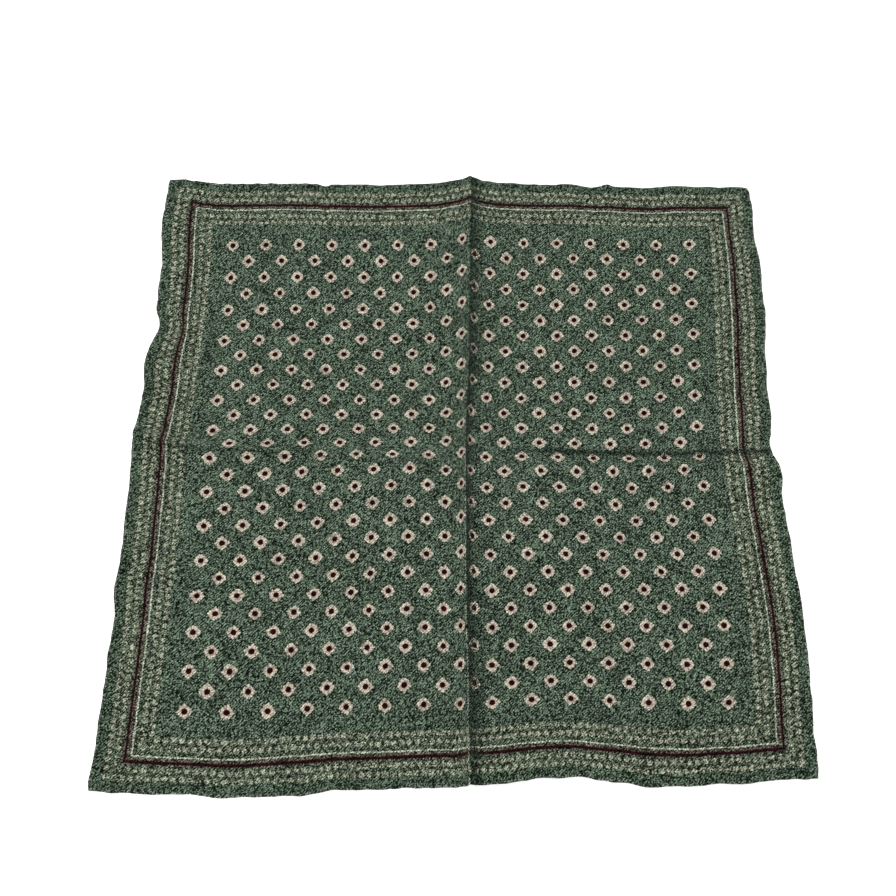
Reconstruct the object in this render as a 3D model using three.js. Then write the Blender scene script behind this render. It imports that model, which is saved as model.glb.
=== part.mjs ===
// Printed wool and silk pocket square, opened out and laid down with its press creases still in it.
// Units are millimetres. +X runs to the square's right edge, +Y to its far edge and +Z up.
// Places on the flat cloth are s (left to right) and t (near to far), both from its centre.
import * as THREE from "three";

// Driving dimensions
const SIDE = 330;
const THICKNESS = 1.0;
const HEM_WIDTH = 3.0;
const HEM_EXTRA = 0.6;
const EDGE_REACH = 90;
const HALF = SIDE / 2;
const GREEN = 0x535c4e;

// Broad lifts of the cloth: an oval on the flat cloth and how high its middle stands.
const SWELLS = [
  { name: "far_left", s: -147, t: 162, halfWidth: 158, halfDepth: 86, height: 7 },
  { name: "far_right", s: 81, t: 168, halfWidth: 170, halfDepth: 128, height: 6.5 },
  { name: "left_edge", s: -166, t: 58, halfWidth: 40, halfDepth: 195, height: 7 },
  { name: "near_dome", s: 42, t: -84, halfWidth: 150, halfDepth: 116, height: 6.5 },
  { name: "right_edge", s: 169, t: -95, halfWidth: 76, halfDepth: 132, height: 6 },
  { name: "near_left", s: -35, t: -49, halfWidth: 96, halfDepth: 110, height: 6 },
  { name: "near_middle", s: 14, t: -163, halfWidth: 88, halfDepth: 75, height: 6 },
];

// Press creases: a straight crest from one place to another and its height at even stations on the way.
// Each flank falls off steeply over its width and leaves a share of the height to a gentle tail.
// A fade is the length over which a crease comes up at its start or dies out at its end.
const CREASES = [
  {
    name: "upright",
    from: [7.5, -165],
    to: [2.5, 165],
    heights: [7, 7, 7.8, 7.8, 7.5],
    leftFlank: { width: 9, tail: 29, tailShare: 0.24 },
    rightFlank: { width: 8.4, tail: 22, tailShare: 0.22 },
    fadeIn: 0,
    fadeOut: 0,
  },
  {
    name: "left_half",
    from: [-165, 5],
    to: [4, 5],
    heights: [6, 4.8, 3],
    leftFlank: { width: 7.2, tail: 20, tailShare: 0.15 },
    rightFlank: { width: 24, tail: 68, tailShare: 0.5 },
    fadeIn: 0,
    fadeOut: 25,
  },
  {
    name: "right_half",
    from: [2, -10],
    to: [165, -10],
    heights: [4.2, 6, 6.7],
    leftFlank: { width: 9.4, tail: 20, tailShare: 0.1 },
    rightFlank: { width: 10, tail: 25, tailShare: 0.5 },
    fadeIn: 30,
    fadeOut: 0,
  },
];
const FLANK_POWER = 1.15;

// How far each edge strays outward from a straight line, at even stations along it:
// the left and right edges from near to far, the near and far edges from left to right.
const EDGE_STRAY = {
  left: [5, 3.5, 3, 3, 0.5, 0.5, 1],
  right: [1.5, 0.5, 0.5, -0.5, 1, 1, 0],
  near: [0.5, 2.5, -0.5, -1, -2.5, 0.5, -1.5],
  far: [5, 5, 6, 6, 2, 1, 3],
};

// Grid lines across the flat cloth: even spacing, closer beside the creases and at the hem.
const COARSE_STEP = 10;
const LINES_BY_UPRIGHT = [-14, -8, -4.5, -2, 0.5, 2.5, 4, 5.5, 7.5, 10, 12.5, 16, 21];
const LINES_BY_CROSSING = [-34, -26, -19, -14, -10, -6, -2, 1.5, 5, 8.5, 12.5, 18];

// Shaping functions
function smoothStep(share) {
  const q = Math.min(Math.max(share, 0), 1);
  return q * q * (3 - 2 * q);
}

function bell(distance) {
  return 0.5 + 0.5 * Math.cos(Math.PI * Math.min(distance, 1));
}

function atStation(stations, share) {
  const last = stations.length - 1;
  const place = Math.min(Math.max(share, 0), 1) * last;
  const index = Math.min(Math.floor(place), last - 1);
  return THREE.MathUtils.lerp(stations[index], stations[index + 1], smoothStep(place - index));
}

function swellHeight(swell, s, t) {
  const across = (s - swell.s) / swell.halfWidth;
  const along = (t - swell.t) / swell.halfDepth;
  return swell.height * bell(Math.hypot(across, along));
}

function flankRise(flank, distance) {
  const steep = Math.max(1 - distance / flank.width, 0) ** FLANK_POWER;
  const gentle = Math.max(1 - distance / flank.tail, 0) ** 2;
  return THREE.MathUtils.lerp(steep, gentle, flank.tailShare);
}

function creaseHeight(crease, s, t) {
  const way = [crease.to[0] - crease.from[0], crease.to[1] - crease.from[1]];
  const length = Math.hypot(way[0], way[1]);
  const out = [s - crease.from[0], t - crease.from[1]];
  const along = (out[0] * way[0] + out[1] * way[1]) / length;
  const aside = (out[1] * way[0] - out[0] * way[1]) / length;
  const rise = flankRise(aside > 0 ? crease.leftFlank : crease.rightFlank, Math.abs(aside));
  const fadeIn = crease.fadeIn > 0 ? smoothStep(along / crease.fadeIn) : 1;
  const fadeOut = crease.fadeOut > 0 ? smoothStep((length - along) / crease.fadeOut) : 1;
  return atStation(crease.heights, along / length) * rise * fadeIn * fadeOut;
}

function heightAt(s, t) {
  const lift = SWELLS.reduce((sum, swell) => sum + swellHeight(swell, s, t), 0);
  return lift + Math.max(...CREASES.map((crease) => creaseHeight(crease, s, t)));
}

// The cloth doesn't stretch, so a sloping stretch covers less ground than its own length.
const WALK_STEP = 1;
const STEEPEST = 0.96;

function groundCovered(heightOf, end) {
  const steps = Math.max(1, Math.ceil(Math.abs(end) / WALK_STEP));
  const step = end / steps;
  let ground = 0;
  for (let i = 0; i < steps; i += 1) {
    const rise = (heightOf((i + 1) * step) - heightOf(i * step)) / Math.abs(step);
    ground += step * Math.sqrt(1 - Math.min(rise * rise, STEEPEST));
  }
  return ground;
}

function middleAt(s, t) {
  const near = bell((t + HALF) / EDGE_REACH) * atStation(EDGE_STRAY.near, (s + HALF) / SIDE);
  const far = bell((HALF - t) / EDGE_REACH) * atStation(EDGE_STRAY.far, (s + HALF) / SIDE);
  const left = bell((s + HALF) / EDGE_REACH) * atStation(EDGE_STRAY.left, (t + HALF) / SIDE);
  const right = bell((HALF - s) / EDGE_REACH) * atStation(EDGE_STRAY.right, (t + HALF) / SIDE);
  return new THREE.Vector3(
    groundCovered((place) => heightAt(place, t), s) + right - left,
    groundCovered((place) => heightAt(s, place), t) + far - near,
    heightAt(s, t),
  );
}

// Grid lines
function gridLines(closeLines) {
  const first = closeLines[0] - COARSE_STEP / 2;
  const last = closeLines[closeLines.length - 1] + COARSE_STEP / 2;
  const inner = HALF - HEM_WIDTH;
  const lines = [-HALF];
  const before = Math.round((first + inner) / COARSE_STEP);
  for (let i = 0; i <= before; i += 1) {
    lines.push(THREE.MathUtils.lerp(-inner, first, i / before));
  }
  lines.push(...closeLines);
  const after = Math.round((inner - last) / COARSE_STEP);
  for (let i = 0; i <= after; i += 1) {
    lines.push(THREE.MathUtils.lerp(last, inner, i / after));
  }
  lines.push(HALF);
  return lines;
}

// The two faces of the sheet stand off its middle surface; the rolled hem adds a little on top.
function onRim(index, columns, rows) {
  const column = Math.floor(index / rows);
  const row = index % rows;
  return column === 0 || row === 0 || column === columns - 1 || row === rows - 1;
}

function facePoints(middle, normals, columns, rows) {
  const top = [];
  const bottom = [];
  middle.forEach((point, index) => {
    const extra = onRim(index, columns, rows) ? HEM_EXTRA : 0;
    top.push(point.clone().addScaledVector(normals[index], THICKNESS / 2 + extra));
    bottom.push(point.clone().addScaledVector(normals[index], -THICKNESS / 2));
  });
  return { top, bottom };
}

function middleNormals(middle, columns, rows) {
  const at = (column, row) => middle[column * rows + row];
  const normals = [];
  for (let column = 0; column < columns; column += 1) {
    for (let row = 0; row < rows; row += 1) {
      const east = at(Math.min(column + 1, columns - 1), row);
      const west = at(Math.max(column - 1, 0), row);
      const north = at(column, Math.min(row + 1, rows - 1));
      const south = at(column, Math.max(row - 1, 0));
      const acrossWay = new THREE.Vector3().subVectors(east, west);
      const alongWay = new THREE.Vector3().subVectors(north, south);
      normals.push(acrossWay.cross(alongWay).normalize());
    }
  }
  return normals;
}

// Closed sheet: upper face, lower face turned over, and a wall all round the rim
function sheetTriangles(columns, rows) {
  const count = columns * rows;
  const at = (column, row) => column * rows + row;
  const triangles = [];
  for (let column = 0; column < columns - 1; column += 1) {
    for (let row = 0; row < rows - 1; row += 1) {
      const [a, b] = [at(column, row), at(column + 1, row)];
      const [c, d] = [at(column + 1, row + 1), at(column, row + 1)];
      triangles.push(a, b, c, a, c, d);
      triangles.push(a + count, c + count, b + count, a + count, d + count, c + count);
    }
  }
  const rim = [];
  for (let column = 0; column < columns; column += 1) rim.push(at(column, 0));
  for (let row = 1; row < rows; row += 1) rim.push(at(columns - 1, row));
  for (let column = columns - 2; column >= 0; column -= 1) rim.push(at(column, rows - 1));
  for (let row = rows - 2; row > 0; row -= 1) rim.push(at(0, row));
  rim.forEach((here, index) => {
    const next = rim[(index + 1) % rim.length];
    triangles.push(here + count, next + count, next, here + count, next, here);
  });
  return triangles;
}

// Rest the lowest point on z = 0 with the box centred over the origin.
function settle(points) {
  const box = new THREE.Box3().setFromPoints(points);
  const centre = box.getCenter(new THREE.Vector3());
  const shift = new THREE.Vector3(-centre.x, -centre.y, -box.min.z);
  points.forEach((point) => point.add(shift));
}

function squareGeometry() {
  const acrossLines = gridLines(LINES_BY_UPRIGHT);
  const alongLines = gridLines(LINES_BY_CROSSING);
  const middle = acrossLines.flatMap((s) => alongLines.map((t) => middleAt(s, t)));
  const columns = acrossLines.length;
  const rows = alongLines.length;
  const normals = middleNormals(middle, columns, rows);
  const { top, bottom } = facePoints(middle, normals, columns, rows);
  const points = [...top, ...bottom];
  settle(points);
  const geometry = new THREE.BufferGeometry().setFromPoints(points);
  geometry.setIndex(sheetTriangles(columns, rows));
  geometry.computeVertexNormals();
  return geometry;
}

function clothMaterial() {
  return new THREE.MeshStandardMaterial({ color: GREEN, roughness: 0.9, metalness: 0 });
}

function printedSquare() {
  const mesh = new THREE.Mesh(squareGeometry(), clothMaterial());
  mesh.name = "printed_square";
  return mesh;
}

const pocketSquare = new THREE.Group();
pocketSquare.add(printedSquare());

export default pocketSquare;
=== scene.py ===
import math

import bmesh
import bpy
from bpy.props import FloatProperty, FloatVectorProperty, PointerProperty
from bpy.types import Operator, Panel, PropertyGroup
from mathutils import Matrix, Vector, noise


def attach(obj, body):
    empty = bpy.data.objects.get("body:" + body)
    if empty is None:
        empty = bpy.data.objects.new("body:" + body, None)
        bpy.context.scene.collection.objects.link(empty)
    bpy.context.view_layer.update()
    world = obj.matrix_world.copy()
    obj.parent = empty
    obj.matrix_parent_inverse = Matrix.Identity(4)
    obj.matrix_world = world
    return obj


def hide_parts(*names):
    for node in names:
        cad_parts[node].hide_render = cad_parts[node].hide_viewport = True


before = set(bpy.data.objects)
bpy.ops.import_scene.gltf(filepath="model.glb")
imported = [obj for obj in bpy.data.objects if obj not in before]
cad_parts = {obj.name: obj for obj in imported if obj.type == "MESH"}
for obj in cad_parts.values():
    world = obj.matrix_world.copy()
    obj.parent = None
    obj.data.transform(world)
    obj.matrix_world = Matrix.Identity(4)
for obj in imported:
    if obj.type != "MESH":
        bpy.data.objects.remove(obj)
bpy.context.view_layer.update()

bl_info = {
    "name": "Pocket square",
    "version": (1, 0, 0),
    "blender": (4, 5, 0),
    "location": "3D View > Sidebar > Pocket square",
    "description": "Makes a printed pocket square, opened out, with its press creases and rolled hem",
    "category": "Object",
}

MM = 0.001

# The cloth's shape, in millimetres on the flat cloth. s runs from left to right and t from the near edge
# to the far one, both from the middle. The swells, the ridge creases, the wall and the edge strays were
# not placed by hand. A separate scratch program fitted them to the florets and the outline in the photo,
# and its results were rounded. The swells are still just those. Some numbers of the first ridge and the
# wall, and most of the strays, were then changed.

SIDE = 330.0
HALF = SIDE / 2
EDGE_REACH = 90.0

# Broad swells where the cloth stands off the table: s, t, half width, half depth, height
SWELLS = (
    (-119, 182, 139, 122, 5.5),
    (96, 165, 227, 207, 9.0),
    (-168.5, 97, 39.5, 216.5, 7.5),
    (48, -89, 203, 86.5, 10.5),
    (173.5, -62.5, 86.5, 415, 8.5),
    (-20.5, -23.5, 139.5, 67.5, 9.0),
    (32.5, -151, 69.5, 43.5, 8.5),
)

# Ridge creases: start, end, heights at even stations, the left and right flank as width, tail, the tail's
# share and the steep part's power, and the length over which the crease fades out at its end. The first
# one is the upright crease, counted from its own bent line
RIDGES = (
    ((0, -165), (0, 165), (7, 7.5, 9, 7.5, 6), (5, 24, 0.85, 1.0), (7, 19, 0.75, 1.2), 0),
    ((-165, 10.5), (4, -9.5), (7.5, 4.5, 4.5), (10.5, 66, 0.55, 1.3), (31, 4, 0.4, 1.3), 25),
)

# The upright crease's line: its place in the middle, and each bend as where it starts, where it is
# complete and how far it goes to the right
CREST_MIDDLE = 3.2
CREST_BENDS = ((-55, -175, 3.8), (0, 60, 1.8))

# The crease across the right half: a low wall that faces the far edge. Its foot line's start and end,
# the wall's heights at even stations, width and power, how high its foot stands as a share of the wall,
# how far the cloth rises towards the foot, how far it falls behind the wall, and the fade at its start
WALL = ((2, 3.5), (165, -0.5), (0.5, 3, 4.5, 4.5), 7.5, 0.9, 1.1, 60, 160, 30)

# Short puckers that run in from the far edge: start, end, height, left and right width
PUCKERS = (
    ((-79, 172), (-76, 135), -2.5, 5, 7),
    ((84, 170), (82, 140), 2.0, 5, 5),
)

# How far each edge strays outwards at even stations, from near to far or from left to right
LEFT_STRAY = (6.5, 4.5, 4.5, 4.5, 1.5, 0, 1.5)
RIGHT_STRAY = (2.5, 0.5, -1.5, -2, -1.5, -0.5, -2.5)
NEAR_STRAY = (2, 4, 1, 0, -4, -0.5, -4)
FAR_STRAY = (7.5, 6.5, 5.5, 6.5, 3.5, 1, 0.5)

# Short bulges of the outline: the edge's side across and along, its place, half width and outward move
BULGES = (
    (0, -1, -124, 18, -1.0),
    (0, -1, -74, 20, 1.2),
    (0, -1, 56, 11, -0.6),
    (0, -1, 90, 13, 1.0),
    (0, -1, 120, 13, -1.1),
    (0, 1, 74, 15, -1.4),
    (0, 1, 124, 15, 1.0),
    (-1, 0, 132, 20, 1.7),
    (-1, 0, 77, 12, -3.2),
    (-1, 0, 54, 15, 1.6),
    (-1, 0, -68, 16, 1.4),
    (1, 0, 132, 22, -1.6),
    (1, 0, 82, 20, 1.2),
    (1, 0, 26, 14, 0.8),
    (1, 0, 5, 9, -1.2),
    (1, 0, -15, 13, 1.5),
)

# The ragged edge: its waves' length, how far they swing, and the seeds of its moves in x and in y
EDGE_WAVES = ((11, 0.6, 1.3, 6.9), (4, 0.4, 4.3, 9.9))

# The corners' small tips: s side, t side, outward move in x and in y, and how far in it reaches
CORNERS = (
    (-1, 1, 0.0, -1.2, 5),
    (1, 1, -0.7, -0.7, 4),
    (-1, -1, 0.6, 0.2, 6),
    (1, -1, -0.8, 0.0, 6),
)

# The grid's lines are closer together by the hem and by the creases: place, reach, step
FINE_S = ((4, 20, 1.0),)
FINE_T = ((2, 12, 1.0),)
HEM_STEPS = (0, 0.18, 0.5, 0.95, 1.45, 1.95, 2.45, 2.9, 3.35, 4.0, 5.0)
PLAIN_STEP = 1.95

# The border's parts as distances from the edge in millimetres, and the rows of florets on each side of
# the middle one
OUTER_DOTS_AT = 6.8
DARK_LINE_AT = 14.2
PALE_LINE_AT = 16.9
INNER_DOTS_AT = 20.7
FLORET_ROWS = 7

# The bake map: the margin round each face's share, and the strip's height that the underside gets
BAKE_MARGIN = 0.003
UNDER_STRIP = 0.1

# Half the thickness across the rolled hem, as distance from the edge and share of the hem's half thickness
HEM_PROFILE = ((0, 0), (0.18, 0.45), (0.5, 0.74), (0.95, 0.95), (1.45, 1.0), (1.95, 0.92), (2.45, 0.7))


def smooth(q):
    """Goes from 0 to 1 with a soft start and end."""
    q = min(max(q, 0.0), 1.0)
    return q * q * (3 - 2 * q)


def bell(q):
    """Falls from 1 at the middle to 0 at one reach away."""
    return 0.5 + 0.5 * math.cos(math.pi * min(abs(q), 1.0))


def along(stations, q):
    """The value at share q of a row of even stations, blended softly between them."""
    place = min(max(q, 0.0), 1.0) * (len(stations) - 1)
    first = min(int(place), len(stations) - 2)
    share = smooth(place - first)
    return stations[first] * (1 - share) + stations[first + 1] * share


def by_line(start, end, s, t):
    """How far a place is along a line and beside it, to the left counted up, and the line's length."""
    run = Vector(end) - Vector(start)
    gone = Vector((s, t)) - Vector(start)
    length = run.length
    return gone.dot(run) / length, (run.x * gone.y - run.y * gone.x) / length, length


def flank(distance, width, tail, share, power):
    """A ridge crease's side: steep by the crest, with a soft tail."""
    steep = max(1 - distance / width, 0.0) ** power
    soft = max(1 - distance / tail, 0.0) ** 2
    return (1 - share) * steep + share * soft


def crest_place(t):
    """Where the upright crease's crest runs: it bends to the right towards both ends."""
    bends = [bend * smooth((t - start) / (end - start)) for start, end, bend in CREST_BENDS]
    return CREST_MIDDLE + sum(bends)


def ridge_height(ridge, s, t):
    """How high one ridge crease stands at a place on the flat cloth."""
    start, end, heights, left, right, fade_out = ridge
    forth, side, length = by_line(start, end, s, t)
    rise = flank(abs(side), *(left if side > 0 else right))
    if fade_out:
        rise *= smooth((length - forth) / fade_out)
    return along(heights, forth / length) * rise


def wall_height(s, t):
    """How high the right half's crease stands at a place on the flat cloth."""
    start, end, heights, width, power, foot_share, far_reach, near_reach, fade_in = WALL
    forth, side, length = by_line(start, end, s, t)
    height = along(heights, forth / length)
    if side > 0:
        rise = foot_share * height * max(1 - side / far_reach, 0.0) ** 2
    else:
        climb = 1 - max(1 + side / width, 0.0) ** power
        rise = (foot_share + climb) * height * max(1 + side / near_reach, 0.0)
    return rise * smooth(forth / fade_in)


def pucker_height(pucker, s, t):
    """How high one short pucker stands at a place on the flat cloth."""
    start, end, height, left, right = pucker
    forth, side, length = by_line(start, end, s, t)
    width = left if side > 0 else right
    return height * bell(side / width) * (1 - smooth(forth / length))


def swell_height(s, t):
    """How high the broad swells lift the cloth."""
    total = 0.0
    for middle_s, middle_t, wide, deep, height in SWELLS:
        away = math.hypot((s - middle_s) / wide, (t - middle_t) / deep)
        if away < 1:
            total += height * bell(away)
    return total


def ripple_height(s, t):
    """Small soft unevenness all over the cloth."""
    broad = noise.noise(Vector((s / 26, t / 26, 3.7)))
    small = noise.noise(Vector((s / 9, t / 9, 8.1)))
    return 0.28 * broad + 0.07 * small


def cloth_height(s, t, press):
    """The height of the cloth's underside over the table."""
    height = swell_height(s, t)
    ridges = (ridge_height(RIDGES[0], s - crest_place(t), t), ridge_height(RIDGES[1], s, t))
    height += press * (max(ridges) + wall_height(s, t))
    height += sum(pucker_height(pucker, s, t) for pucker in PUCKERS)
    height += ripple_height(s, t)
    return max(height, 0.0)


def edge_distance(s, t):
    """The distance from the nearest edge of the flat cloth."""
    return HALF - max(abs(s), abs(t))


def half_thickness(s, t, cloth, hem):
    """Half the cloth's thickness: nothing at the very edge, thick in the roll, thin inside it."""
    distance = edge_distance(s, t)
    last = HEM_PROFILE[0]
    for mark in HEM_PROFILE:
        if distance <= mark[0]:
            share = (distance - last[0]) / max(mark[0] - last[0], 1e-6)
            return hem / 2 * (last[1] + (mark[1] - last[1]) * share)
        last = mark
    share = smooth((distance - last[0]) / 1.2)
    return hem / 2 * last[1] * (1 - share) + cloth / 2 * share


def table_lift(s, t, cloth, hem):
    """How far the cloth's middle lies over its underside: the rolled hem holds the cloth next to it up."""
    share = smooth((edge_distance(s, t) - 1.5) / 9)
    return hem / 2 * (1 - share) + cloth / 2 * share


def graded_lines(fine):
    """Places of the grid's lines from edge to edge, closer by the hem and by the creases."""
    inner = HALF - HEM_STEPS[-1]
    places = [-inner]
    while places[-1] < inner:
        here = places[-1]
        step = PLAIN_STEP
        for middle, reach, close in fine:
            share = smooth((abs(here - middle) - reach) / 10)
            step = min(step, close * (1 - share) + PLAIN_STEP * share)
        places.append(here + step)
    scale = 2 * inner / (places[-1] - places[0])
    places = [-inner + (place + inner) * scale for place in places]
    for middle, reach, close in fine:
        nearest = min(range(len(places)), key=lambda index: abs(places[index] - middle))
        places[nearest] = middle
    low = [-HALF + step for step in HEM_STEPS[:-1]]
    high = [HALF - step for step in reversed(HEM_STEPS[:-1])]
    return low + places + high


def lean(s, t):
    """Shifts a line of the grid sideways so that one line runs along the upright crease's crest."""
    middle = FINE_S[0][0]
    return (crest_place(t) - middle) * bell((s - middle) / 100)


def running_sum(places, heights):
    """Plan lengths along a line of the cloth, counted from its middle: a slope takes up length."""
    total = [0.0]
    for first in range(len(places) - 1):
        step = places[first + 1] - places[first]
        rise = heights[first + 1] - heights[first]
        total.append(total[-1] + math.sqrt(max(step * step - rise * rise, 0.04 * step * step)))
    middle = 0
    while places[middle + 1] < 0:
        middle += 1
    share = -places[middle] / (places[middle + 1] - places[middle])
    start = total[middle] * (1 - share) + total[middle + 1] * share
    return [value - start for value in total]


def edge_stray(s, t):
    """The outline's own moves in x and y at a place on the cloth."""
    near_to_far = (t + HALF) / SIDE
    left_to_right = (s + HALF) / SIDE
    x = bell((HALF - s) / EDGE_REACH) * along(RIGHT_STRAY, near_to_far)
    x -= bell((HALF + s) / EDGE_REACH) * along(LEFT_STRAY, near_to_far)
    y = bell((HALF - t) / EDGE_REACH) * along(FAR_STRAY, left_to_right)
    y -= bell((HALF + t) / EDGE_REACH) * along(NEAR_STRAY, left_to_right)
    for side_s, side_t, move_x, move_y, reach in CORNERS:
        pull = bell((HALF - side_s * s) / reach) * bell((HALF - side_t * t) / reach)
        x += move_x * pull
        y += move_y * pull
    for side_s, side_t, place, half_width, move in BULGES:
        pull = move * bell((t * side_s * side_s + s * side_t * side_t - place) / half_width)
        pull *= bell((HALF - side_s * s - side_t * t) / 25)
        x += side_s * pull
        y += side_t * pull
    ragged = bell(edge_distance(s, t) / 6)
    for length, swung, seed_x, seed_y in EDGE_WAVES:
        x += swung * ragged * noise.noise(Vector((s / 60, t / length, seed_x)))
        y += swung * ragged * noise.noise(Vector((s / length, t / 60, seed_y)))
    return x, y


def cloth_points(cloth):
    """Flat places and positions of the cloth's middle surface, row by row from the near edge."""
    columns = graded_lines(FINE_S)
    rows = graded_lines(FINE_T)
    flat = [[(s + lean(s, t), t) for s in columns] for t in rows]
    heights = [[cloth_height(s, t, cloth.press) for s, t in row] for row in flat]
    across = [running_sum([s for s, t in row], line) for row, line in zip(flat, heights)]
    upward = [
        running_sum(rows, [heights[j][i] for j in range(len(rows))]) for i in range(len(columns))
    ]
    thin = cloth.thickness / MM
    thick = cloth.hem_thickness / MM
    points = []
    for j in range(len(rows)):
        for i in range(len(columns)):
            s, t = flat[j][i]
            x, y = edge_stray(s, t)
            lift = table_lift(s, t, thin, thick)
            points.append((s, t, across[j][i] + x, upward[i][j] + y, heights[j][i] + lift))
    return len(columns), len(rows), points


def lay_grid(bm, cloth):
    """Makes a grid and moves it onto the cloth's middle surface. Returns each vertex's flat place."""
    wide, deep, points = cloth_points(cloth)
    bmesh.ops.create_grid(bm, x_segments=wide - 1, y_segments=deep - 1, size=1.0)
    middle_x = (min(p[2] for p in points) + max(p[2] for p in points)) / 2
    middle_y = (min(p[3] for p in points) + max(p[3] for p in points)) / 2
    flat = {}
    for vertex in bm.verts:
        i = round((vertex.co.x + 1) / 2 * (wide - 1))
        j = round((vertex.co.y + 1) / 2 * (deep - 1))
        s, t, x, y, z = points[j * wide + i]
        vertex.co = ((x - middle_x) * MM, (y - middle_y) * MM, z * MM)
        flat[vertex] = (s, t)
    return flat


def print_maps(bm, flat):
    """Gives the faces the map that the print reads and the map that a bake uses."""
    cloth_map = bm.loops.layers.uv.new("Flat cloth")
    bake_map = bm.loops.layers.uv.new("OFBake")
    wide = 1 - 2 * BAKE_MARGIN
    low = UNDER_STRIP + BAKE_MARGIN
    for face in bm.faces:
        for loop in face.loops:
            s, t = flat[loop.vert]
            across = (s + HALF) / SIDE
            upward = (t + HALF) / SIDE
            loop[cloth_map].uv = (across, upward)
            loop[bake_map].uv = (BAKE_MARGIN + wide * across, low + (wide - UNDER_STRIP) * upward)
    return bake_map


def square_mesh(cloth):
    """The whole cloth as one closed skin: the printed face, the plain underside and the rolled hem."""
    bm = bmesh.new()
    flat = lay_grid(bm, cloth)
    bake_map = print_maps(bm, flat)
    bm.normal_update()
    thin = cloth.thickness / MM
    thick = cloth.hem_thickness / MM
    half = {}
    for vertex, (s, t) in flat.items():
        half[vertex] = vertex.normal * half_thickness(s, t, thin, thick) * MM

    copied = bmesh.ops.duplicate(bm, geom=bm.verts[:] + bm.edges[:] + bm.faces[:])
    twin = copied["vert_map"]
    under = [face for face in copied["geom"] if isinstance(face, bmesh.types.BMFace)]
    for face in under:
        face.material_index = 1
        for loop in face.loops:
            u, v = loop[bake_map].uv
            loop[bake_map].uv = (u, BAKE_MARGIN + (v - UNDER_STRIP - BAKE_MARGIN) * UNDER_STRIP)
    bmesh.ops.reverse_faces(bm, faces=under)
    for vertex, move in half.items():
        twin[vertex].co -= move
        vertex.co += move
    rim = [vertex for vertex, (s, t) in flat.items() if edge_distance(s, t) < 1e-4]
    bmesh.ops.remove_doubles(bm, verts=rim + [twin[vertex] for vertex in rim], dist=1e-6)
    lowest = min(vertex.co.z for vertex in bm.verts)
    bmesh.ops.translate(bm, verts=bm.verts[:], vec=(0, 0, -lowest))
    for face in bm.faces:
        face.smooth = True
    mesh = bpy.data.meshes.new("pocket_square")
    bm.to_mesh(mesh)
    bm.free()
    return mesh


class Nodes:
    """Adds nodes to one node tree. A value is a number, a colour, a vector or another node's socket."""

    def __init__(self, tree):
        self.tree = tree

    def add(self, kind, **settings):
        node = self.tree.nodes.new(kind)
        count = len(self.tree.nodes)
        node.location = (190 * (count // 7), -170 * (count % 7))
        for name, value in settings.items():
            setattr(node, name, value)
        return node

    def put(self, socket, value):
        if isinstance(value, bpy.types.NodeSocket):
            self.tree.links.new(value, socket)
        else:
            socket.default_value = value

    def math(self, operation, *values):
        node = self.add("ShaderNodeMath", operation=operation)
        for socket, value in zip(node.inputs, values):
            self.put(socket, value)
        return node.outputs[0]

    def add_up(self, first, *others):
        for other in others:
            first = self.math("ADD", first, other)
        return first

    def times(self, first, *others):
        for other in others:
            first = self.math("MULTIPLY", first, other)
        return first

    def vector(self, operation, *values):
        node = self.add("ShaderNodeVectorMath", operation=operation)
        for socket, value in zip(node.inputs, values):
            self.put(socket, value)
        return node.outputs["Value" if operation in ("LENGTH", "DISTANCE") else "Vector"]

    def joined(self, x, y, z=0.0):
        node = self.add("ShaderNodeCombineXYZ")
        for socket, value in zip(node.inputs, (x, y, z)):
            self.put(socket, value)
        return node.outputs[0]

    def parted(self, vector):
        node = self.add("ShaderNodeSeparateXYZ")
        self.put(node.inputs[0], vector)
        return node.outputs

    def spread(self, value, low, high, to_low=0.0, to_high=1.0, soft=True):
        kind = "SMOOTHSTEP" if soft else "LINEAR"
        node = self.add("ShaderNodeMapRange", interpolation_type=kind, clamp=True)
        for socket, number in zip(node.inputs, (value, low, high, to_low, to_high)):
            self.put(socket, number)
        return node.outputs[0]

    def blend(self, share, low, high, kind="MIX"):
        node = self.add("ShaderNodeMix", data_type="RGBA", blend_type=kind, clamp_factor=True)
        self.put(node.inputs[0], share)
        self.put(node.inputs[6], low)
        self.put(node.inputs[7], high)
        return node.outputs[2]

    def noise(self, place, scale, detail=2.0, rough=0.5, stretch=None):
        if stretch:
            mapping = self.add("ShaderNodeMapping")
            self.put(mapping.inputs["Vector"], place)
            self.put(mapping.inputs["Scale"], stretch)
            place = mapping.outputs[0]
        node = self.add("ShaderNodeTexNoise", noise_dimensions="3D")
        self.put(node.inputs["Vector"], place)
        self.put(node.inputs["Scale"], scale)
        self.put(node.inputs["Detail"], detail)
        self.put(node.inputs["Roughness"], rough)
        return node.outputs[0]

    def chance(self, place):
        node = self.add("ShaderNodeTexWhiteNoise", noise_dimensions="3D")
        self.put(node.inputs["Vector"], place)
        return self.parted(node.outputs["Color"])


def new_group(name, inputs, outputs):
    """A shader node group with named sockets. Returns it, its helper, its inputs and its output node."""
    group = bpy.data.node_groups.new(name, "ShaderNodeTree")
    for label, kind, value in inputs:
        socket = group.interface.new_socket(label, in_out="INPUT", socket_type=kind)
        if value is not None:
            socket.default_value = value
    for label, kind in outputs:
        group.interface.new_socket(label, in_out="OUTPUT", socket_type=kind)
    nodes = Nodes(group)
    start = nodes.add("NodeGroupInput")
    end = nodes.add("NodeGroupOutput")
    return group, nodes, start.outputs, end.inputs


NUMBER = "NodeSocketFloat"
VECTOR = "NodeSocketVector"


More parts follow.
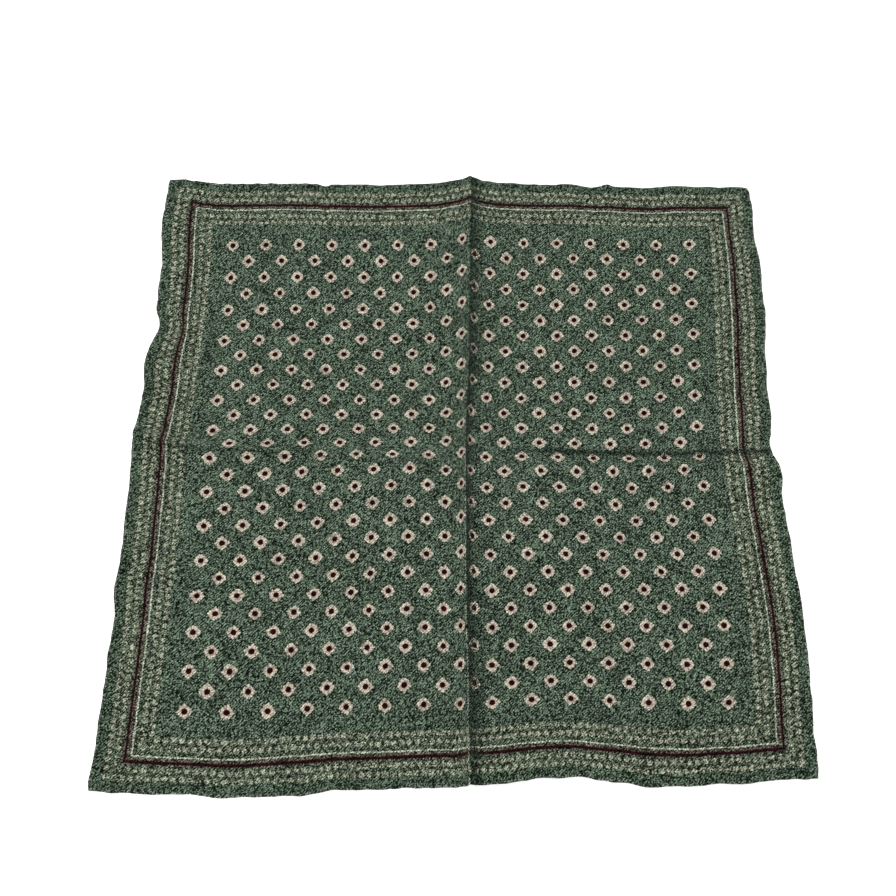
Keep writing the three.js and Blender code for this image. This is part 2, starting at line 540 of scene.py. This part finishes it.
def floret_masks(nodes, s, t, ragged, settings):
    """The scattered florets: petals, eye, dark halo and the blush round the eye."""
    pitch = settings.floret_pitch / MM
    total = nodes.math("ADD", s, t)
    differ = nodes.math("SUBTRACT", s, t)
    first = nodes.math("ROUND", nodes.math("DIVIDE", total, pitch))
    second = nodes.math("ROUND", nodes.math("DIVIDE", differ, pitch))
    total = nodes.math("SUBTRACT", total, nodes.times(first, pitch))
    differ = nodes.math("SUBTRACT", differ, nodes.times(second, pitch))
    a = nodes.times(nodes.math("ADD", total, differ), 0.5)
    b = nodes.times(nodes.math("SUBTRACT", total, differ), 0.5)
    middle_s = nodes.math("ABSOLUTE", nodes.math("SUBTRACT", s, a))
    middle_t = nodes.math("ABSOLUTE", nodes.math("SUBTRACT", t, b))
    inside = nodes.math("LESS_THAN", nodes.math("MAXIMUM", middle_s, middle_t), (FLORET_ROWS + 0.1) * pitch)
    dice = nodes.chance(nodes.joined(first, second, 2.0))

    away = nodes.vector("LENGTH", nodes.joined(a, b))
    turn = nodes.times(nodes.math("SUBTRACT", dice[0], 0.5), 0.3)
    angle = nodes.math("ADD", nodes.math("ARCTAN2", b, a), turn)
    four = nodes.times(nodes.math("COSINE", nodes.times(angle, 4.0)), 0.26)
    eight = nodes.times(nodes.math("COSINE", nodes.times(angle, 8.0)), 0.14)
    size = nodes.math("ADD", nodes.times(dice[1], 0.14), 0.93)
    reach = nodes.times(nodes.add_up(four, eight, 2.95), size)
    gap = nodes.math("SUBTRACT", nodes.math("ADD", reach, ragged), away)
    petals = nodes.times(nodes.spread(gap, -0.45, 0.35), inside)
    halo = nodes.times(nodes.spread(gap, -1.4, -0.1), inside)
    eye_gap = nodes.math("SUBTRACT", nodes.math("ADD", nodes.times(ragged, 0.35), 1.42), away)
    eye = nodes.times(nodes.spread(eye_gap, -0.25, 0.25), inside)
    blush = nodes.times(nodes.spread(eye_gap, -1.0, 0.0), inside)
    return petals, eye, halo, blush


def dot_rows(nodes, across, forth, ragged, settings):
    """Two pairs of dotted rows that run along one pair of edges."""
    pitch = settings.dot_pitch / MM
    gap = settings.dot_row_gap / MM
    distance = nodes.math("SUBTRACT", HALF, nodes.math("ABSOLUTE", across))
    inner = nodes.math("GREATER_THAN", distance, (DARK_LINE_AT + PALE_LINE_AT) / 2)
    base = nodes.math("ADD", nodes.times(inner, INNER_DOTS_AT - OUTER_DOTS_AT), OUTER_DOTS_AT)
    depth = nodes.math("SUBTRACT", distance, base)
    row = nodes.math("ROUND", nodes.spread(depth, 0.0, gap, soft=False))
    off_row = nodes.math("SUBTRACT", depth, nodes.times(row, gap))
    phase = nodes.times(row, 0.5)
    count = nodes.math("ROUND", nodes.math("ADD", nodes.math("DIVIDE", forth, pitch), phase))
    middle = nodes.times(nodes.math("SUBTRACT", count, phase), pitch)
    off_dot = nodes.math("SUBTRACT", forth, middle)
    row_distance = nodes.math("ADD", base, nodes.times(row, gap))
    end = nodes.math("SUBTRACT", HALF + 0.6, row_distance)
    inside = nodes.math("LESS_THAN", nodes.math("ABSOLUTE", middle), end)

    layer = nodes.add_up(row, nodes.times(inner, 3.0), nodes.times(nodes.math("SIGN", across), 7.0))
    dice = nodes.chance(nodes.joined(count, layer, 5.0))
    off_dot = nodes.math("ADD", off_dot, nodes.times(nodes.math("SUBTRACT", dice[0], 0.5), 0.25))
    off_row = nodes.math("ADD", off_row, nodes.times(nodes.math("SUBTRACT", dice[1], 0.5), 0.2))
    away = nodes.vector("LENGTH", nodes.joined(off_dot, off_row))
    size = nodes.math("ADD", nodes.times(dice[2], 0.2), 1.1)
    edge = nodes.math("SUBTRACT", nodes.math("ADD", size, nodes.times(ragged, 0.4)), away)
    strength = nodes.math("ADD", nodes.times(dice[0], 0.4), 0.6)
    return nodes.times(nodes.spread(edge, -0.4, 0.35), inside, strength)


def border_masks(nodes, place, s, t, ragged):
    """The border's bands and lines, by their distance from the nearest edge."""
    reach = nodes.math("MAXIMUM", nodes.math("ABSOLUTE", s), nodes.math("ABSOLUTE", t))
    distance = nodes.math("SUBTRACT", HALF, reach)
    wide = nodes.noise(place, 0.5, 2.0, 0.5)
    uneven = nodes.math("ADD", distance, nodes.times(nodes.math("SUBTRACT", wide, 0.5), 0.5))
    outer_band = nodes.times(nodes.spread(uneven, 4.6, 5.8), nodes.spread(uneven, 13.2, 11.8))
    inner_band = nodes.times(nodes.spread(uneven, 18.2, 19.4), nodes.spread(uneven, 26.8, 25.2))
    off_dark = nodes.math("ABSOLUTE", nodes.math("SUBTRACT", distance, DARK_LINE_AT))
    sideways = nodes.math("GREATER_THAN", nodes.math("ABSOLUTE", s), nodes.math("ABSOLUTE", t))
    half_width = nodes.add_up(nodes.times(ragged, 0.6), nodes.times(sideways, -0.2), 0.75)
    dark_gap = nodes.math("SUBTRACT", half_width, off_dark)
    off_pale = nodes.math("ABSOLUTE", nodes.math("SUBTRACT", distance, PALE_LINE_AT))
    pale_gap = nodes.math("SUBTRACT", nodes.math("ADD", nodes.times(ragged, 0.5), 0.3), off_pale)
    off_both = nodes.math("ABSOLUTE", nodes.math("SUBTRACT", distance, DARK_LINE_AT + 1))
    blotch = nodes.spread(nodes.noise(place, 0.22, 3.0, 0.6), 0.42, 0.62)
    margin = nodes.times(nodes.spread(uneven, 6.0, 4.0), nodes.math("ADD", nodes.times(blotch, 0.6), 0.4))
    return {
        "Dot band": nodes.math("MAXIMUM", outer_band, inner_band),
        "Dark line": nodes.spread(dark_gap, -0.3, 0.3),
        "Dark line halo": nodes.spread(off_both, 3.2, 1.6),
        "Pale line": nodes.spread(pale_gap, -0.25, 0.25),
        "Margin": margin,
        "Edge": nodes.spread(distance, 1.8, 0.3),
    }


def print_group(settings):
    """The whole print as masks: florets, dotted rows and the two border lines."""
    outputs = ("Petals", "Eye", "Halo", "Blush", "Dots", "Dot band", "Dark line")
    outputs += ("Dark line halo", "Pale line", "Margin", "Edge")
    group, nodes, start, end = new_group(
        "Floret and dot print",
        (("Place", VECTOR, None), ("Ragged", NUMBER, 0.4)),
        [(name, NUMBER) for name in outputs],
    )
    place = start["Place"]
    s, t, _ = nodes.parted(place)
    wander = nodes.math("SUBTRACT", nodes.noise(place, 1.3, 2.0, 0.6), 0.5)
    ragged = nodes.times(wander, 2.2, start["Ragged"])
    petals, eye, halo, blush = floret_masks(nodes, s, t, ragged, settings)
    along_s = dot_rows(nodes, t, s, ragged, settings)
    along_t = dot_rows(nodes, s, t, ragged, settings)

    masks = {
        "Petals": petals,
        "Eye": eye,
        "Halo": halo,
        "Blush": blush,
        "Dots": nodes.math("MAXIMUM", along_s, along_t),
        **border_masks(nodes, place, s, t, ragged),
    }
    for name, value in masks.items():
        nodes.put(end[name], value)
    return group


def swing(nodes, value, amount):
    """A noise that swings round nothing by an amount."""
    return nodes.times(nodes.math("SUBTRACT", value, 0.5), amount)


def ground_group():
    """Woven twill with flecks of pale and dark yarn and soft clouds. Its tone swings round nothing."""
    group, nodes, start, end = new_group(
        "Flecked twill",
        (("Place", VECTOR, None),),
        (("Tone", NUMBER), ("Cloud", NUMBER), ("Height", NUMBER)),
    )
    place = start["Place"]
    s, t, _ = nodes.parted(place)
    flecks = nodes.noise(place, 3.6, 1.0, 0.6)
    coarse = nodes.noise(place, 0.8, 1.0, 0.5)
    wave = nodes.math("ADD", nodes.math("SUBTRACT", s, t), swing(nodes, coarse, 0.7))
    ribs = nodes.math("SINE", nodes.times(wave, 2 * math.pi / 1.55))
    row = nodes.math("DIVIDE", wave, 0.57)
    line = nodes.math("FLOOR", row)
    shift = nodes.times(nodes.math("SINE", nodes.times(line, 12.9)), 3.0)
    spot = nodes.math("FLOOR", nodes.math("ADD", nodes.times(nodes.math("ADD", s, t), 1.05), shift))
    floats = nodes.chance(nodes.joined(line, spot, 1.0))[0]
    warp = nodes.noise(place, 1.0, 2.0, 0.5, stretch=(1.6, 0.09, 1.0))
    weft = nodes.noise(place, 1.0, 2.0, 0.5, stretch=(0.09, 1.6, 1.0))
    cloud = nodes.noise(place, 0.07, 3.0, 0.6)

    tone = swing(nodes, flecks, 5.2)
    tone = nodes.math("ADD", tone, swing(nodes, coarse, 0.3))
    tone = nodes.math("ADD", tone, swing(nodes, floats, 5.1))
    tone = nodes.math("ADD", tone, nodes.times(ribs, 0.6))
    tone = nodes.math("ADD", tone, swing(nodes, warp, 0.5))
    nodes.put(end["Tone"], nodes.math("ADD", tone, swing(nodes, weft, 0.5)))
    nodes.put(end["Cloud"], swing(nodes, cloud, 1.0))

    threads = nodes.math("ADD", nodes.times(ribs, 0.5), nodes.times(flecks, 1.2))
    nodes.put(end["Height"], nodes.math("ADD", threads, nodes.times(warp, 0.8)))
    return group


def off_crease(nodes, s, t, crease, above):
    """How far a place lies along t from a line at a set distance above a crease that runs across."""
    (start_s, start_t), (end_s, end_t) = crease[:2]
    slope = (end_t - start_t) / (end_s - start_s)
    level = start_t - slope * start_s + above
    return nodes.math("ABSOLUTE", nodes.add_up(t, nodes.times(s, -slope), -level))


def painted_crease_light_group():
    """Painted light on the creases: painted shade by them and a thin painted highlight along the upright
    crest.
    """
    group, nodes, start, end = new_group(
        "Painted crease shade and highlight",
        (("Place", VECTOR, None),),
        (("Dark", NUMBER), ("Pale", NUMBER)),
    )
    s, t, _ = nodes.parted(start["Place"])
    bends = [nodes.spread(t, start, end, 0.0, bend) for start, end, bend in CREST_BENDS]
    off_ridge = nodes.math("SUBTRACT", s, nodes.add_up(*bends, CREST_MIDDLE))
    # Painted shade on the steep right flank of the upright crease, darkest by the crest
    shade = nodes.spread(off_ridge, 13.0, 0.5, 0.0, 0.84)
    right_side = nodes.times(nodes.spread(off_ridge, 0.0, 0.8), shade)
    # A thin painted highlight along the upright crease's crest, broken up by noise and kept to the near
    # half
    highlight_patches = nodes.noise(start["Place"], 0.35, 2.0, 0.6)
    pale_crest_line = nodes.spread(nodes.math("ABSOLUTE", nodes.math("ADD", off_ridge, 0.2)), 0.45, 0.1)
    near_half = nodes.spread(t, 60.0, -60.0)
    nodes.put(end["Pale"], nodes.times(pale_crest_line, nodes.spread(highlight_patches, 0.2, 0.55), near_half))

    # Painted shade along the foot of the right half's wall, and a faint painted shade line along the left
    # crease
    off_foot = off_crease(nodes, s, t, WALL, 1.85)
    foot = nodes.times(nodes.spread(off_foot, 3.0, 0.4), nodes.spread(s, 12.0, 60.0, 0.0, 0.85))
    off_left = off_crease(nodes, s, t, RIDGES[1], 0.0)
    left = nodes.times(nodes.spread(off_left, 1.6, 0.2, 0.0, 0.2), nodes.math("LESS_THAN", s, 0.0))
    dark = nodes.math("MAXIMUM", right_side, nodes.math("MAXIMUM", foot, left))
    nodes.put(end["Dark"], dark)
    return group


def flat_place(nodes):
    """A place on the flat cloth in millimetres from its middle, read from the cloth's own map."""
    source = nodes.add("ShaderNodeUVMap", uv_map="Flat cloth")
    mapping = nodes.add("ShaderNodeMapping")
    nodes.put(mapping.inputs["Vector"], source.outputs[0])
    nodes.put(mapping.inputs["Location"], (-HALF, -HALF, 0))
    nodes.put(mapping.inputs["Scale"], (SIDE, SIDE, 1))
    return mapping.outputs[0]


def placed_group(nodes, group, **values):
    """Puts a node group in a material with its own values. Returns its outputs."""
    node = nodes.add("ShaderNodeGroup", node_tree=group)
    for name, value in values.items():
        nodes.put(node.inputs[name], value)
    return node.outputs


def new_material(name, roughness, sheen):
    """A matt cloth material. Returns it, its helper and its shader."""
    material = bpy.data.materials.new(name)
    material.use_nodes = True
    nodes = Nodes(material.node_tree)
    shader = material.node_tree.nodes["Principled BSDF"]
    shader.inputs["Roughness"].default_value = roughness
    shader.inputs["Specular IOR Level"].default_value = 0.06
    shader.inputs["Sheen Weight"].default_value = sheen
    shader.inputs["Sheen Roughness"].default_value = 0.5
    return material, nodes, shader


class Layers:
    """Lays coloured inks over one another. Each ink has its own contrast in the flecked yarn."""

    def __init__(self, nodes, colour, contrast):
        self.nodes = nodes
        self.colour = colour
        self.contrast = contrast

    def lay(self, mask, colour, contrast):
        self.colour = self.nodes.blend(mask, self.colour, (*colour, 1.0))
        change = self.nodes.times(self.nodes.math("SUBTRACT", contrast, self.contrast), mask)
        self.contrast = self.nodes.math("ADD", self.contrast, change)

    def flecked(self, tone):
        swung = self.nodes.math("ADD", self.nodes.times(tone, self.contrast), 1.0)
        bright = self.nodes.math("POWER", self.nodes.math("MAXIMUM", swung, 0.3), 2.2)
        return self.nodes.blend(1.0, self.colour, bright, "MULTIPLY")


def add_bump(nodes, shader, height, distance, strength=1.0):
    """Feeds a height to the shader's normal."""
    bump = nodes.add("ShaderNodeBump")
    bump.inputs["Strength"].default_value = strength
    bump.inputs["Distance"].default_value = distance
    nodes.put(bump.inputs["Height"], height)
    nodes.put(shader.inputs["Normal"], bump.outputs[0])


def printed_material(groups, settings):
    """The face that shows: flecked green ground with florets, dots and border lines."""
    material, nodes, shader = new_material("Printed face", 0.85, 0.03)
    place = flat_place(nodes)
    woven = placed_group(nodes, groups[0], Place=place)
    masks = placed_group(nodes, groups[1], Place=place, Ragged=0.35)
    # press carries painted light: painted shade by the creases and a painted highlight on the upright crest
    press = placed_group(nodes, groups[2], Place=place)

    inks = Layers(nodes, (*settings.ground, 1.0), 0.56)
    inks.lay(nodes.spread(woven["Tone"], -0.2, 1.4, 0.0, 0.7), (0.032, 0.0415, 0.0315), 0.56)
    inks.lay(nodes.times(masks["Margin"], 0.6), (0.0155, 0.0255, 0.0155), 0.58)
    inks.lay(nodes.times(masks["Dot band"], 0.7), (0.034, 0.043, 0.027), 0.5)
    inks.lay(nodes.times(masks["Halo"], 0.6), (0.025, 0.034, 0.022), 0.45)
    inks.lay(nodes.times(masks["Dark line halo"], 0.8), (0.041, 0.036, 0.027), 0.5)
    inks.lay(masks["Dots"], settings.dot, 0.25)
    inks.lay(masks["Pale line"], settings.pale_line, 0.15)
    inks.lay(masks["Dark line"], settings.dark_line, 0.35)
    inks.lay(masks["Petals"], settings.petal, 0.13)
    inks.lay(nodes.times(masks["Blush"], masks["Petals"], 0.6), (0.4, 0.28, 0.23), 0.13)
    inks.lay(masks["Eye"], settings.eye, 0.3)
    inks.lay(nodes.times(masks["Edge"], 0.3), (0.1, 0.105, 0.09), 0.35)
    # Painted highlight along the upright crest, then painted shade beside the creases
    inks.lay(nodes.times(press["Pale"], 0.3), (0.2, 0.2, 0.16), 0.3)
    inks.lay(press["Dark"], (0.006, 0.0105, 0.0065), 0.52)

    colour = inks.flecked(nodes.math("ADD", woven["Tone"], nodes.times(woven["Cloud"], 1.3)))
    nodes.put(shader.inputs["Base Color"], colour)
    nodes.put(shader.inputs["Roughness"], nodes.spread(woven["Tone"], -1.0, 1.0, 0.95, 0.78, soft=False))
    add_bump(nodes, shader, woven["Height"], 0.0001)
    return material


def under_material(groups):
    """The plain underside, where the print only shows through faintly."""
    material, nodes, shader = new_material("Underside", 0.9, 0.03)
    place = flat_place(nodes)
    woven = placed_group(nodes, groups[0], Place=place)
    masks = placed_group(nodes, groups[1], Place=place, Ragged=0.6)
    pale = nodes.math("MAXIMUM", masks["Petals"], masks["Pale line"])
    pale = nodes.math("MAXIMUM", pale, nodes.times(masks["Dots"], 0.5))
    dark = nodes.math("MAXIMUM", masks["Eye"], masks["Dark line"])

    inks = Layers(nodes, (0.1, 0.125, 0.096, 1.0), 0.25)
    inks.lay(nodes.times(pale, 0.3), (0.32, 0.31, 0.25), 0.15)
    inks.lay(nodes.times(dark, 0.45), (0.05, 0.035, 0.03), 0.2)
    nodes.put(shader.inputs["Base Color"], inks.flecked(woven["Tone"]))
    nodes.put(shader.inputs["Roughness"], nodes.spread(woven["Tone"], -1.0, 1.0, 0.96, 0.84, soft=False))
    add_bump(nodes, shader, woven["Height"], 0.0001)
    return material


def floor_material(settings):
    """Plain pale table top, lit through like a light table, so that the cloth throws no shadow on it."""
    material, nodes, shader = new_material("Pale table", 0.9, 0.0)
    source = nodes.add("ShaderNodeTexCoord")
    mottle = nodes.noise(source.outputs["Object"], 3.0, 2.0, 0.5)
    pale = (*settings.floor_colour, 1.0)
    near_pale = (*[0.985 * value for value in settings.floor_colour], 1.0)
    nodes.put(shader.inputs["Base Color"], nodes.blend(mottle, near_pale, pale))
    shader.inputs["Emission Color"].default_value = (1.0, 1.0, 1.0, 1.0)
    shader.inputs["Emission Strength"].default_value = settings.floor_glow
    return material


class ClothSettings(PropertyGroup):
    """Sizes of the cloth itself."""

    thickness: FloatProperty(
        name="Thickness",
        description="How thick the cloth is inside the hem",
        default=0.0006,
        min=0.0002,
        max=0.001,
        precision=4,
        subtype="DISTANCE",
        unit="LENGTH",
    )
    hem_thickness: FloatProperty(
        name="Hem thickness",
        description="How thick the rolled hem is",
        default=0.0015,
        min=0.0006,
        max=0.0025,
        precision=4,
        subtype="DISTANCE",
        unit="LENGTH",
    )
    press: FloatProperty(
        name="Crease height",
        description="Height of the press creases, as a share of the sizes above",
        default=1.0,
        min=0.0,
        max=1.1,
        subtype="FACTOR",
    )


class PrintSettings(PropertyGroup):
    """Sizes and colours of the print."""

    floret_pitch: FloatProperty(
        name="Floret spacing",
        description="Distance between florets in one row",
        default=0.0182,
        precision=4,
        subtype="DISTANCE",
        unit="LENGTH",
    )
    dot_pitch: FloatProperty(
        name="Dot spacing",
        description="Distance between dots in one row",
        default=0.00358,
        precision=5,
        subtype="DISTANCE",
        unit="LENGTH",
    )
    dot_row_gap: FloatProperty(
        name="Dot row gap",
        description="Distance between the two rows of a pair",
        default=0.00385,
        precision=5,
        subtype="DISTANCE",
        unit="LENGTH",
    )
    ground: FloatVectorProperty(
        name="Ground",
        description="Middle green of the ground",
        default=(0.0278, 0.045, 0.028),
        subtype="COLOR",
    )
    petal: FloatVectorProperty(
        name="Petals",
        description="Petals of the florets",
        default=(0.4, 0.365, 0.295),
        subtype="COLOR",
    )
    eye: FloatVectorProperty(
        name="Eyes",
        description="Round middle of the florets",
        default=(0.009, 0.0005, 0.0004),
        subtype="COLOR",
    )
    dot: FloatVectorProperty(
        name="Dots",
        description="Dots of the border",
        default=(0.185, 0.195, 0.145),
        subtype="COLOR",
    )
    dark_line: FloatVectorProperty(
        name="Dark line",
        description="Maroon line of the border",
        default=(0.01, 0.0012, 0.002),
        subtype="COLOR",
    )
    pale_line: FloatVectorProperty(
        name="Pale line",
        description="Cream line of the border",
        default=(0.33, 0.365, 0.28),
        subtype="COLOR",
    )


class StageSettings(PropertyGroup):
    """The table, the light and the camera."""

    floor_size: FloatProperty(
        name="Table size",
        description="Side of the pale table top",
        default=12.0,
        subtype="DISTANCE",
        unit="LENGTH",
    )
    floor_colour: FloatVectorProperty(
        name="Table colour",
        description="Colour of the table top",
        default=(0.9, 0.9, 0.9),
        subtype="COLOR",
    )
    floor_glow: FloatProperty(
        name="Table glow", description="How much light comes through the table top", default=0.65
    )
    key_power: FloatProperty(
        name="Main light", description="Power of the broad soft light overhead", default=12.0, unit="POWER"
    )
    sky_strength: FloatProperty(
        name="Room light", description="Strength of the even light all round", default=0.75
    )
    lens: FloatProperty(
        name="Lens", description="Focal length of the camera", default=51.3, subtype="DISTANCE_CAMERA"
    )
    distance: FloatProperty(
        name="Camera distance",
        description="From the camera to the point that it looks at",
        default=0.657,
        subtype="DISTANCE",
        unit="LENGTH",
    )
    elevation: FloatProperty(
        name="Camera elevation",
        description="Angle of the view above the table",
        default=math.radians(64.85),
        subtype="ANGLE",
        unit="ROTATION",
    )
    turn: FloatProperty(
        name="Camera turn",
        description="Turn of the camera round the upright",
        default=math.radians(0.5),
        subtype="ANGLE",
        unit="ROTATION",
    )


class SquareSettings(PropertyGroup):
    """All settings of the pocket square and its stage."""

    cloth: PointerProperty(type=ClothSettings, name="Cloth", description="Sizes of the cloth")
    printed: PointerProperty(type=PrintSettings, name="Print", description="Sizes and colours of the print")
    stage: PointerProperty(type=StageSettings, name="Stage", description="Table, light and camera")


class POCKETSQUARE_OT_cloth(Operator):
    """Make the printed cloth with its creases, its rolled hem and both faces"""

    bl_idname = "pocketsquare.cloth"
    bl_label = "Make cloth"
    bl_options = {"REGISTER", "UNDO"}

    def execute(self, context):
        settings = context.scene.pocket_square
        mesh = square_mesh(settings.cloth)
        if not mesh.polygons:
            raise RuntimeError("the cloth has no faces")
        groups = (ground_group(), print_group(settings.printed), painted_crease_light_group())
        mesh.materials.append(printed_material(groups, settings.printed))
        mesh.materials.append(under_material(groups))
        square = bpy.data.objects.new("pocket_square", mesh)
        context.scene.collection.objects.link(square)
        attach(square, "root")
        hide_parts("printed_square")
        return {"FINISHED"}


def area_light(scene, name, power, size, place, aim=(0, 0, 0)):
    """A square soft light that faces a point."""
    data = bpy.data.lights.new(name, "AREA")
    data.energy = power
    data.size = size
    light = bpy.data.objects.new(name, data)
    light.location = place
    light.rotation_euler = (Vector(aim) - Vector(place)).to_track_quat("-Z", "Y").to_euler()
    scene.collection.objects.link(light)
    return light


MAIN_LIGHT_SIZE = 0.9
MAIN_LIGHT_PLACE = (-0.35, 0.25, 1.5)

# The point on the table that the camera looks at, in millimetres. This point and the camera's lens,
# distance, elevation and turn come, rounded, from the same fit as the cloth's swells
CAMERA_AIM = (-3.2, 7.3, 0)


class POCKETSQUARE_OT_stage(Operator):
    """Make the pale table, the soft light and the camera"""

    bl_idname = "pocketsquare.stage"
    bl_label = "Make stage"
    bl_options = {"REGISTER", "UNDO"}

    def execute(self, context):
        scene = context.scene
        settings = scene.pocket_square.stage
        bm = bmesh.new()
        bmesh.ops.create_grid(bm, x_segments=2, y_segments=2, size=settings.floor_size / 2)
        mesh = bpy.data.meshes.new("floor")
        bm.to_mesh(mesh)
        bm.free()
        mesh.materials.append(floor_material(settings))
        floor = bpy.data.objects.new("floor", mesh)
        scene.collection.objects.link(floor)

        world = bpy.data.worlds.new("Studio")
        world.use_nodes = True
        background = world.node_tree.nodes["Background"]
        background.inputs["Color"].default_value = (1.0, 1.0, 1.0, 1.0)
        background.inputs["Strength"].default_value = settings.sky_strength
        scene.world = world
        area_light(scene, "main_light", settings.key_power, MAIN_LIGHT_SIZE, MAIN_LIGHT_PLACE)
        scene.view_settings.view_transform = "Standard"

        camera = bpy.data.objects.new("camera", bpy.data.cameras.new("camera"))
        camera.data.lens = settings.lens
        camera.data.sensor_width = 36.0
        camera.data.clip_start = 0.01
        aim = Vector(CAMERA_AIM) * MM
        level = Vector((-math.sin(settings.turn), math.cos(settings.turn), 0))
        back = level * -math.cos(settings.elevation) + Vector((0, 0, math.sin(settings.elevation)))
        camera.location = aim + back * settings.distance
        camera.rotation_euler = (math.pi / 2 - settings.elevation, 0, settings.turn)
        scene.collection.objects.link(camera)
        scene.camera = camera
        return {"FINISHED"}


class POCKETSQUARE_PT_panel(Panel):
    """Lists the pieces and their settings"""

    bl_label = "Pocket square"
    bl_idname = "POCKETSQUARE_PT_panel"
    bl_space_type = "VIEW_3D"
    bl_region_type = "UI"
    bl_category = "Pocket square"

    def draw(self, context):
        settings = context.scene.pocket_square
        for title, group, operator in (
            ("Cloth", settings.cloth, None),
            ("Print", settings.printed, POCKETSQUARE_OT_cloth.bl_idname),
            ("Stage", settings.stage, POCKETSQUARE_OT_stage.bl_idname),
        ):
            box = self.layout.box()
            box.label(text=title)
            for name in group.__annotations__:
                box.prop(group, name)
            if operator:
                box.operator(operator)


CLASSES = (
    ClothSettings,
    PrintSettings,
    StageSettings,
    SquareSettings,
    POCKETSQUARE_OT_cloth,
    POCKETSQUARE_OT_stage,
    POCKETSQUARE_PT_panel,
)


def register():
    for item in CLASSES:
        bpy.utils.register_class(item)
    bpy.types.Scene.pocket_square = PointerProperty(type=SquareSettings)


def unregister():
    del bpy.types.Scene.pocket_square
    for item in reversed(CLASSES):
        bpy.utils.unregister_class(item)


def main():
    register()
    bpy.ops.pocketsquare.stage()
    bpy.ops.pocketsquare.cloth()


if __name__ == "__main__":
    main()
